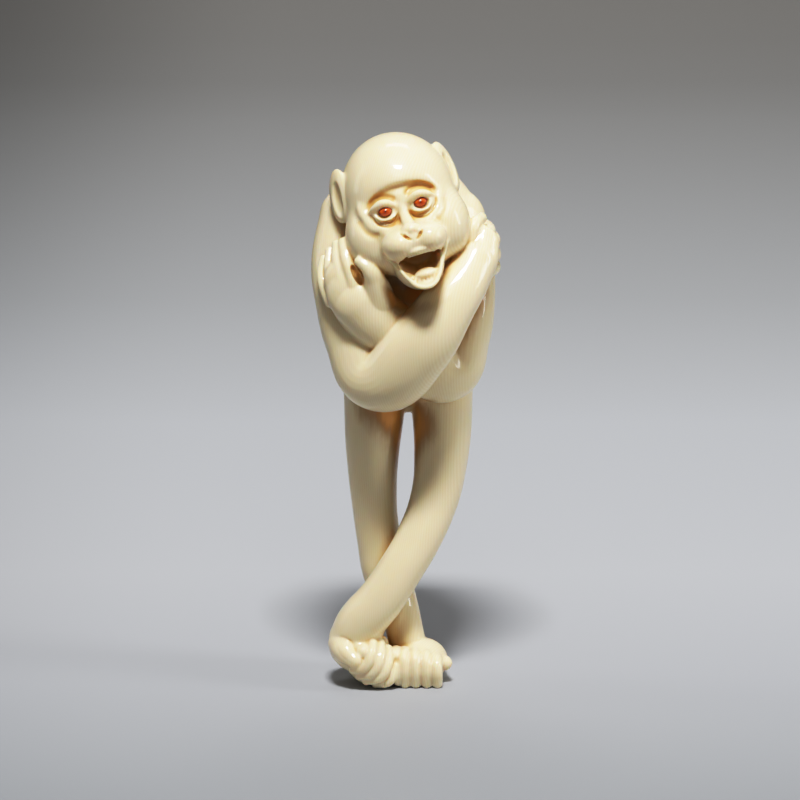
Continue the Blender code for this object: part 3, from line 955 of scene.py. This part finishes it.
NEAR = 5.0 * MM
FAR = 20.0 * MM
TOO_NEAR = 2.0 * MM
LINE_SPREAD = 1.4
hidden = evened(monkey, hidden_sky(monkey, NEAR), 3)
# Painted shadow: how much the figure's own overhangs hide each point from above.
overhang_shadow_share = evened(monkey, hidden_sky(monkey, FAR, upward=1.0, skip=TOO_NEAR), 12)
bend = inward_bend(monkey, 4)
keep(monkey, "hollow", hidden)
keep(monkey, "overhang_shadow", overhang_shadow_share)
keep(monkey, "crease", bend)
keep(monkey, "line", traced(monkey, face_lines, HEAD, FACE_WINDOW, LINE_SPREAD))
print("sheltered: mean %.3f, most %.3f" % (overhang_shadow_share.mean(), overhang_shadow_share.max()))
print("hidden sky: mean %.3f, most %.3f" % (hidden.mean(), hidden.max()))
print("inward bend in mm: %.3f to %.3f" % (bend.min(), bend.max()))

# %% [markdown]
# Every finish is made of a few small nodes, so short helpers stand for them: a sum, a blend of
# two colours, a ramp of colours, a soft step between two values, a noise.

# %% Helpers for finishes
def new_finish(name):
    """A new material with its nodes and links."""
    finish = bpy.data.materials.new(name)
    finish.use_nodes = True
    return finish, finish.node_tree.nodes, finish.node_tree.links


def placed(nodes):
    """The point's place on the object."""
    return nodes.new("ShaderNodeTexCoord").outputs["Object"]


def maths(operation, first, second=None):
    made = nodes.new("ShaderNodeMath")
    made.operation = operation
    for socket, value in zip(made.inputs, (first, second)):
        if isinstance(value, (int, float)):
            socket.default_value = value
        elif value is not None:
            links.new(value, socket)
    return made.outputs[0]


def mixed(factor, first, second):
    made = nodes.new("ShaderNodeMix")
    made.data_type = "RGBA"
    sockets = (made.inputs[0], made.inputs[6], made.inputs[7])
    for socket, value in zip(sockets, (factor, first, second)):
        if isinstance(value, tuple):
            socket.default_value = (*value, 1)
        else:
            links.new(value, socket)
    return made.outputs[2]


def ramp(value, stops):
    made = nodes.new("ShaderNodeValToRGB")
    band = made.color_ramp
    while len(band.elements) < len(stops):
        band.elements.new(0.5)
    for element, (place, colour) in zip(band.elements, stops):
        element.position = place
        element.color = (*colour, 1)
    links.new(value, made.inputs[0])
    return made.outputs[0]


def between(value, low, high, start=0.0, end=1.0):
    made = nodes.new("ShaderNodeMapRange")
    made.interpolation_type = "SMOOTHSTEP"
    for socket, number in zip(made.inputs[1:5], (low, high, start, end)):
        socket.default_value = number
    links.new(value, made.inputs[0])
    return made.outputs[0]


def noise(where, scale, detail=2.0, roughness=0.5):
    made = nodes.new("ShaderNodeTexNoise")
    made.inputs["Scale"].default_value = scale
    made.inputs["Detail"].default_value = detail
    made.inputs["Roughness"].default_value = roughness
    links.new(where, made.inputs["Vector"])
    return made.outputs[0]


def measured(name):
    """A number kept on the points of the mesh."""
    made = nodes.new("ShaderNodeAttribute")
    made.attribute_name = name
    return made.outputs["Fac"]


print("helpers ready for finishes")

# %% [markdown]
# Ivory is built of thin layers round the tusk's axis. On a carving they show as fine lines
# that run up the figure, and near the crown, where the surface cuts across them, as rings
# and crossing arcs. The finish takes the distance from an upright axis beside the figure,
# bends it with a little noise and turns it into soft bands. Where the surface lies along a
# layer, the bands fade.

# %% Grain of the ivory
LAYER = 0.31 * MM
AXIS = (-0.045, 0.012)
WANDER_SCALE = 120.0
WANDER = 2.2 * MM
BROAD_SCALE = 90.0

finish, nodes, links = new_finish("ivory")
place = placed(nodes)
split = nodes.new("ShaderNodeSeparateXYZ")
links.new(place, split.inputs[0])
x_off = maths("SUBTRACT", split.outputs["X"], AXIS[0])
y_off = maths("SUBTRACT", split.outputs["Y"], AXIS[1])
squares = maths("ADD", maths("MULTIPLY", x_off, x_off), maths("MULTIPLY", y_off, y_off))
radius = maths("SQRT", squares)
stretch = nodes.new("ShaderNodeMapping")
stretch.inputs["Scale"].default_value = (1, 1, 0.25)
links.new(place, stretch.inputs["Vector"])
wander = noise(stretch.outputs[0], WANDER_SCALE)
warp = maths("MULTIPLY", maths("SUBTRACT", wander, 0.5), WANDER)
layers = maths("SINE", maths("MULTIPLY", maths("ADD", radius, warp), 2 * math.pi / LAYER))
strength = between(noise(place, BROAD_SCALE, 3.0, 0.55), 0.35, 0.65, 0.35, 1.0)
outward = nodes.new("ShaderNodeCombineXYZ")
links.new(maths("DIVIDE", x_off, radius), outward.inputs[0])
links.new(maths("DIVIDE", y_off, radius), outward.inputs[1])
square_on = nodes.new("ShaderNodeVectorMath")
square_on.operation = "DOT_PRODUCT"
links.new(nodes.new("ShaderNodeNewGeometry").outputs["Normal"], square_on.inputs[0])
links.new(outward.outputs[0], square_on.inputs[1])
along_layer = maths("ABSOLUTE", square_on.outputs["Value"])
crossing = between(along_layer, 0.75, 0.99, 1.0, 0.25)
grain = maths("MULTIPLY", maths("MULTIPLY", layers, strength), crossing)
print("layers %.2f mm apart" % (LAYER / MM))

# %% [markdown]
# The bands differ only a little in colour, so the polish stays even. Painted shade and stain go
# over them by the measures kept on the skin: a painted shadow, dark and then warm brown, where
# the figure overhangs itself, honey in folds and round the fingers and umber in the deepest lines,
# these two partly patina and partly painted shade.

# %% Colours of the ivory
PALE = (0.84, 0.73, 0.495)
MID = (0.81, 0.68, 0.435)
# Shade and the brown after it are a painted shadow under overhangs; honey and umber are the
# hollows' patina, partly painted shade.
SHADE = (0.40, 0.20, 0.055)
DEEP_SHADOW_WARM = (0.80, 0.42, 0.11)
HONEY = (0.68, 0.45, 0.18)
UMBER = (0.62, 0.35, 0.11)
CREASE_SHARE = 2.5
LINE_SHARE = 0.9

# How deep each point lies in a hollow, fold or line: the honey and umber set by it are partly
# patina and partly painted shade.
depth = maths("ADD", measured("hollow"), maths("MULTIPLY", measured("crease"), CREASE_SHARE))
depth = maths("ADD", depth, maths("MULTIPLY", measured("line"), LINE_SHARE))
overhang_shadow = measured("overhang_shadow")
stained_and_shaded = mixed(between(grain, -1.0, 1.0), MID, PALE)
# Each colour goes on by its measure: the painted shadow under overhangs first, then the hollows'
# patina with its painted shade.
for measure, low, high, stain_and_shade in (
    (overhang_shadow, 0.24, 0.56, SHADE),
    (overhang_shadow, 0.42, 0.64, DEEP_SHADOW_WARM),
    (depth, 0.20, 0.62, HONEY),
    (depth, 0.50, 0.85, UMBER),
):
    stained_and_shaded = mixed(between(measure, low, high), stained_and_shaded, stain_and_shade)
    print("stain between", low, "and", high)

# %% [markdown]
# A handled netsuke has a soft shine under a thin, clear polish. Light sinks into the ivory
# and glows warm at thin places. The grain can just be felt, so it also gives a faint bump.

# %% Polish of the ivory
GRAIN_HEIGHT = 0.02 * MM
ivory_shader = nodes["Principled BSDF"]
for socket, value in (
    ("Roughness", 0.42),
    ("Specular IOR Level", 0.22),
    ("IOR", 1.54),
    ("Subsurface Weight", 0.5),
    ("Subsurface Radius", (1.0, 0.6, 0.3)),
    ("Subsurface Scale", 1.5 * MM),
    ("Coat Weight", 0.55),
    ("Coat Roughness", 0.06),
):
    ivory_shader.inputs[socket].default_value = value
links.new(stained_and_shaded, ivory_shader.inputs["Base Color"])
bump = nodes.new("ShaderNodeBump")
bump.inputs["Strength"].default_value = 0.12
bump.inputs["Distance"].default_value = GRAIN_HEIGHT
links.new(grain, bump.inputs["Height"])
links.new(bump.outputs[0], ivory_shader.inputs["Normal"])
monkey.data.materials.clear()
monkey.data.materials.append(finish)
monkey.data.shade_smooth()
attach(monkey, "root")
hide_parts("monkey")
print("ivory on", monkey.name)

# %% [markdown]
# Each eye is a domed oval of red amber let into the ivory, with a round pupil of dark horn
# let into the amber. The amber is brightest in a ring between the pupil and the rim.

# %% Finishes of the eyes
AMBER_POLISH = 0.12
AMBER_IOR = 1.54
AMBER_STREAKS = 2600
AMBER_DEEP = (0.30, 0.03, 0.004)
AMBER_GLOW = (0.60, 0.12, 0.013)
AMBER_RIM = (0.20, 0.012, 0.003)
HORN_POLISH = 0.15
HORN_MOTTLE = 3000
HORN_DARK = (0.012, 0.004, 0.002)
HORN_LIGHT = (0.05, 0.015, 0.006)


def amber(name, side):
    made, nodes, links = new_finish(name)
    shader = nodes["Principled BSDF"]
    where = placed(nodes)
    away = nodes.new("ShaderNodeVectorMath")
    away.operation = "DISTANCE"
    centre = HEAD @ Vector((side * EYE_APART, -PUPIL_FORWARD, 0))
    away.inputs[1].default_value = MM * centre + SHIFT
    links.new(where, away.inputs[0])
    streaks = nodes.new("ShaderNodeTexNoise")
    streaks.inputs["Scale"].default_value = AMBER_STREAKS
    links.new(where, streaks.inputs["Vector"])
    spread = nodes.new("ShaderNodeMath")
    spread.operation = "MULTIPLY_ADD"
    spread.inputs[1].default_value = 0.25 * MM
    links.new(streaks.outputs[0], spread.inputs[0])
    links.new(away.outputs["Value"], spread.inputs[2])
    tone = nodes.new("ShaderNodeMapRange")
    tone.inputs[1].default_value = 0.3 * MM
    tone.inputs[2].default_value = 1.0 * MM
    links.new(spread.outputs[0], tone.inputs[0])
    blend = nodes.new("ShaderNodeValToRGB")
    blend.color_ramp.elements[0].color = (*AMBER_DEEP, 1)
    blend.color_ramp.elements[1].color = (*AMBER_RIM, 1)
    glow = blend.color_ramp.elements.new(0.45)
    glow.color = (*AMBER_GLOW, 1)
    links.new(tone.outputs[0], blend.inputs[0])
    links.new(blend.outputs[0], shader.inputs["Base Color"])
    shader.inputs["Roughness"].default_value = AMBER_POLISH
    shader.inputs["IOR"].default_value = AMBER_IOR
    return made


def horn(name):
    made, nodes, links = new_finish(name)
    shader = nodes["Principled BSDF"]
    mottle = nodes.new("ShaderNodeTexNoise")
    mottle.inputs["Scale"].default_value = HORN_MOTTLE
    links.new(placed(nodes), mottle.inputs["Vector"])
    blend = nodes.new("ShaderNodeValToRGB")
    blend.color_ramp.elements[0].color = (*HORN_DARK, 1)
    blend.color_ramp.elements[1].color = (*HORN_LIGHT, 1)
    links.new(mottle.outputs[0], blend.inputs[0])
    links.new(blend.outputs[0], shader.inputs["Base Color"])
    shader.inputs["Roughness"].default_value = HORN_POLISH
    return made


dark = horn("dark_horn")
print("made", dark.name)

# %% Eyes
for side, word in zip(SIDES, ("right", "left")):
    ring = carved(iris(side), pupil(side, GLUE))
    for piece, stood_for, finish, slot in (
        (ring, word + "_iris", amber(word + "_amber", side), "amber"),
        (pupil(side), word + "_pupil", dark, "dark_horn"),
    ):
        piece.name = "inlaid_" + stood_for
        piece.data.materials.clear()
        piece.data.materials.append(finish)
        piece.data.shade_smooth()
        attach(piece, "root")
        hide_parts(stood_for)
        print(piece.name, triangles(piece), "triangles")

# %% [markdown]
# The stage is a pale paper sweep that runs back from the figure and rises behind it. Its colour
# is painted darker towards the camera, towards the top and a little to the left: a painted pool of
# light that is brightest just behind the figure.

# %% Stage
PAPER_WIDTH = 3.2
PAPER_FRONT = -1.6
PAPER_FLAT = 2.1
PAPER_LENGTH = 2.75
PAPER_BEND = 0.35
bpy.ops.mesh.primitive_grid_add(x_subdivisions=1, y_subdivisions=60, size=1)
sweep = bpy.context.object
sweep.name = "paper_sweep"
for vertex in sweep.data.vertices:
    vertex.co.x *= PAPER_WIDTH
    bent = (vertex.co.y + 0.5) * PAPER_LENGTH - PAPER_FLAT
    angle = min(max(bent, 0) / PAPER_BEND, math.pi / 2)
    vertex.co.y = PAPER_FRONT + PAPER_FLAT + min(bent, 0) + PAPER_BEND * math.sin(angle)
    rise = max(0, bent - PAPER_BEND * math.pi / 2)
    vertex.co.z = PAPER_BEND * (1 - math.cos(angle)) + rise
sweep.data.shade_smooth()
print("sweep laid,", PAPER_WIDTH, "m wide")

# %% Painted light on the paper
PAPER_NEAR = -0.06
PAPER_FAR = 0.66
PAPER_ROUGHNESS = 0.6
BLACK = (0.0, 0.0, 0.0)
# Tones along the paper, brightest just behind the figure: a painted pool of light.
painted_light_tones = (
    (-0.05, (0.275, 0.285, 0.30)),
    (0.0, (0.385, 0.395, 0.42)),
    (0.05, (0.475, 0.485, 0.51)),
    (0.14, (0.53, 0.545, 0.575)),
    (0.24, (0.475, 0.485, 0.50)),
    (0.45, (0.45, 0.45, 0.45)),
    (0.66, (0.34, 0.325, 0.305)),
)
paper, nodes, links = new_finish("pale_paper")
split = nodes.new("ShaderNodeSeparateXYZ")
links.new(placed(nodes), split.inputs[0])
run = nodes.new("ShaderNodeMapRange")
run.inputs[1].default_value = PAPER_NEAR
run.inputs[2].default_value = PAPER_FAR
links.new(split.outputs["Y"], run.inputs[0])
paper_run = PAPER_FAR - PAPER_NEAR
stops = [((y - PAPER_NEAR) / paper_run, tone) for y, tone in painted_light_tones]
# Painted shade: the paper darkens a little towards the left.
painted_shade_left = between(split.outputs["X"], -0.14, -0.03, 0.42, 0.0)
shader = nodes["Principled BSDF"]
painted_pool = mixed(painted_shade_left, ramp(run.outputs[0], stops), BLACK)
links.new(painted_pool, shader.inputs["Base Color"])
shader.inputs["Roughness"].default_value = PAPER_ROUGHNESS
sweep.data.materials.append(paper)
print("tones along the paper:", len(painted_light_tones))

# %% [markdown]
# One lamp with a small soft face hangs high in front. It throws the arms' shadow on the upper
# legs and gives the dome its crisp highlight. The others are weak: two from in front, a card
# on each side that keeps the edges clear, and one for the rising paper.

# %% Lights
def soft_light(name, spot, aim, width, height, power):
    """A rectangular lamp at a spot, turned to face another."""
    lamp = bpy.data.lights.new(name, "AREA")
    lamp.shape = "RECTANGLE"
    lamp.size = width
    lamp.size_y = height
    lamp.energy = power
    obj = bpy.data.objects.new(name, lamp)
    bpy.context.scene.collection.objects.link(obj)
    obj.location = spot
    obj.rotation_mode = "QUATERNION"
    obj.rotation_quaternion = (Vector(aim) - Vector(spot)).to_track_quat("-Z", "Y")


AIM = (0, 0, 0.05)
soft_light("key", (0, -0.19, 0.45), AIM, 0.10, 0.05, 2.55)
soft_light("front", (0, -0.32, 0.36), AIM, 0.12, 0.05, 0.10)
soft_light("low_front", (0.03, -0.44, 0.19), AIM, 0.20, 0.20, 0.085)
soft_light("right_card", (0.34, -0.06, 0.16), AIM, 0.08, 0.20, 0.5)
soft_light("left_card", (-0.28, 0.06, 0.14), AIM, 0.06, 0.20, 0.08)
soft_light("sweep_light", (0, 0.30, 0.60), (0, 0.75, 0.1), 0.30, 0.30, 1.6)
ROOM_LIGHT = (0.55, 0.5, 0.4, 1)
ROOM_STRENGTH = 0.035
world = bpy.data.worlds.new("studio")
bpy.context.scene.world = world
world.use_nodes = True
world.node_tree.nodes["Background"].inputs[0].default_value = ROOM_LIGHT
world.node_tree.nodes["Background"].inputs[1].default_value = ROOM_STRENGTH
print("lights hung")

# %% [markdown]
# A camera doesn't show light in a straight line: shadows come out deeper, and highlights are
# held back before they turn white. A tone curve does the same here. It leaves middle grey
# alone.

# %% Tone curve
TONES = ((0.12, 0.085), (0.5, 0.5), (0.9, 0.8), (1.5, 0.95))
BRIGHTEST = 2
view = bpy.context.scene.view_settings
view.view_transform = "Standard"
view.use_curve_mapping = True
view.curve_mapping.clip_max_x = BRIGHTEST
light_curve = view.curve_mapping.curves[3]
light_curve.points[1].location = (BRIGHTEST, 1)
for given, shown in TONES:
    light_curve.points.new(given, shown)
view.curve_mapping.update()
print("points on the tone curve:", len(light_curve.points))

# %% [markdown]
# The photograph was taken from in front and a little above. The camera stands half a metre
# away, so the head is drawn slightly larger than the feet.

# %% Camera
DISTANCE = 0.5
ELEVATION = math.radians(14)
FRAME_WIDTH = 108.1 * MM
NEAR_CLIP = 0.01
VIEW_CENTRE = Vector((-0.95, 9.07, 36.39)) * MM + SHIFT
lens = bpy.data.cameras.new("camera")
camera = bpy.data.objects.new("camera", lens)
bpy.context.scene.collection.objects.link(camera)
backwards = Vector((0, -math.cos(ELEVATION), math.sin(ELEVATION)))
camera.location = VIEW_CENTRE + backwards * DISTANCE
camera.rotation_mode = "QUATERNION"
camera.rotation_quaternion = (-backwards).to_track_quat("-Z", "Y")
lens.lens = lens.sensor_width * DISTANCE / FRAME_WIDTH
lens.clip_start = NEAR_CLIP
bpy.context.scene.camera = camera
print("lens %.1f mm" % lens.lens)
